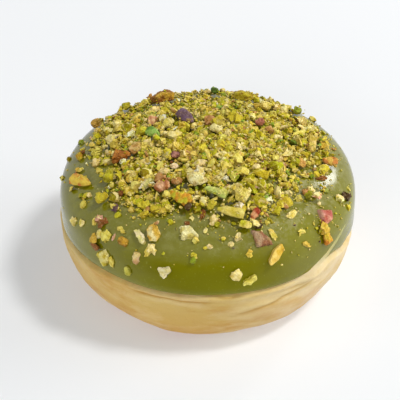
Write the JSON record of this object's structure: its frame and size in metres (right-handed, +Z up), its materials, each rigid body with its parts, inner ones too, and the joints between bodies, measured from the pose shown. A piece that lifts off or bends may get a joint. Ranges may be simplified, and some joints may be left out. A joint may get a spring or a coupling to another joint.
{
  "type": "filled doughnut",
  "caption": "Round filled doughnut with a flat underside, a glossy green glaze over its crown and sides, and chopped pistachio heaped on top.",
  "frame": {"origin": "middle of the flat underside, directly under the middle of the doughnut's bounding box", "axes": "+Z up through the crown, -Y towards the front, +X to the right seen from the front"},
  "size_m": [0.0922, 0.0925, 0.0497],
  "materials": {
    "dough": "matte",
    "glaze": "gloss",
    "crumbs": "matte",
    "nut_cream": "matte",
    "nut_yellow": "matte",
    "nut_green": "matte",
    "nut_tan": "matte",
    "nut_pink": "matte",
    "nut_skin": "matte"
  },
  "bodies": {
    "root": {"dough": "dough", "glaze": "glaze", "crumb_bed": "crumbs", "crown_purple_kernel": "nut_skin", "crown_green_kernel": "nut_green", "crown_cream_shard": "nut_cream", "crown_pale_chunk": "nut_yellow", "crown_pink_chunk": "nut_pink", "crown_cream_wedge": "nut_cream", "crown_cream_block": "nut_cream", "crown_big_cream_chunk": "nut_cream", "crown_tan_end": "nut_tan", "crown_white_chip": "nut_cream", "crown_yellow_piece": "nut_yellow", "crown_green_chunk": "nut_green", "crown_pink_brown_chunk": "nut_tan", "left_orange_skin": "nut_tan", "left_tan_strip": "nut_tan", "left_pale_block": "nut_yellow", "left_olive_piece": "nut_green", "left_long_kernel": "nut_yellow", "left_olive_half": "nut_yellow", "left_olive_block": "nut_green", "left_pale_yellow_bit": "nut_yellow", "left_yellow_bit": "nut_yellow", "left_pale_bit": "nut_yellow", "back_brown_topped_strip": "nut_tan", "back_tan_piece": "nut_tan", "back_olive_piece": "nut_green", "back_olive_strip": "nut_green", "back_green_chip": "nut_green", "back_yellow_green_chip": "nut_yellow", "back_cream_wedge": "nut_cream", "right_pale_strip": "nut_yellow", "right_yellow_piece": "nut_yellow", "right_orange_piece": "nut_tan", "right_green_chip": "nut_green", "right_olive_pair": "nut_green", "right_red_triangle": "nut_pink", "right_yellow_orange_piece": "nut_yellow", "front_pale_lump": "nut_yellow", "front_yellow_plank": "nut_yellow", "front_green_long_piece": "nut_green", "front_yellow_green_piece": "nut_yellow", "front_red_skin": "nut_skin", "front_yellow_chip": "nut_yellow", "front_glazed_shard": "nut_skin", "front_golden_plank": "nut_yellow", "front_yellow_side_block": "nut_yellow", "front_salmon_chunk": "nut_pink", "front_orange_ended_piece": "nut_yellow", "front_white_cluster": "nut_cream", "front_golden_cluster": "nut_yellow", "front_big_cream_chip": "nut_cream", "front_cream_rod": "nut_cream", "front_golden_brown_bit": "nut_tan", "front_pink_cream_bit": "nut_pink", "front_side_pale_piece": "nut_yellow", "front_side_green_bit": "nut_yellow", "front_side_white_bit": "nut_cream"}
  },
  "joints": []
}
